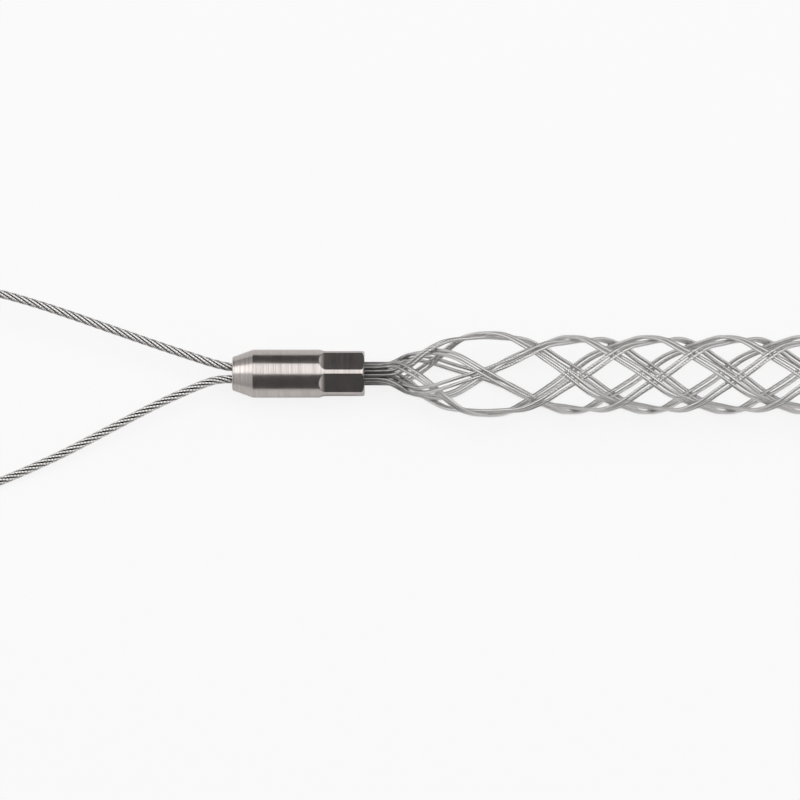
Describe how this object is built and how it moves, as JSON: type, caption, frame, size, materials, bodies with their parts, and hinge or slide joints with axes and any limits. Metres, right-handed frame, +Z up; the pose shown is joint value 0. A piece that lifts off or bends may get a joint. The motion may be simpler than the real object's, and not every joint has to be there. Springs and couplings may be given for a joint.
{
  "type": "cable pulling grip",
  "caption": "Cable pulling grip: a wire rope eye that swivels in a crimped steel ferrule, and a woven stocking of paired wire strand that grips a cable.",
  "frame": {"origin": "on the surface that the grip lies on, under the middle of its length and width", "axes": "+X along the grip, from the pulling eye to the stocking's open mouth; +Z up; the eye lies almost flat, its -Y side on the surface"},
  "size_m": [0.4048, 0.0616, 0.0248],
  "materials": {
    "ferrule_steel": "finely turned, bright, with pressed flats",
    "bronze": "turned",
    "plain_steel": "turned",
    "rope_steel": "drawn wire, laid up as rope",
    "strand_steel": "drawn wire, laid up as strand"
  },
  "bodies": {
    "grip_body": {"ferrule": "ferrule_steel", "thrust_washer": "bronze", "core_plug": "plain_steel", "mesh_wire_1_outer": "strand_steel", "mesh_wire_1_inner": "strand_steel", "mesh_wire_2_outer": "strand_steel", "mesh_wire_2_inner": "strand_steel", "mesh_wire_3_outer": "strand_steel", "mesh_wire_3_inner": "strand_steel", "mesh_wire_4_outer": "strand_steel", "mesh_wire_4_inner": "strand_steel"},
    "swivel_eye": {"eye_rope": "rope_steel", "eye_rope_stop_sleeve": "plain_steel"}
  },
  "joints": [
    {"name": "eye_swivel", "type": "hinge", "parent": "grip_body", "child": "swivel_eye", "pos_m": [-0.08919, 0.00444, 0.0071], "axis": [1, 0, 0], "continuous": true}
  ]
}
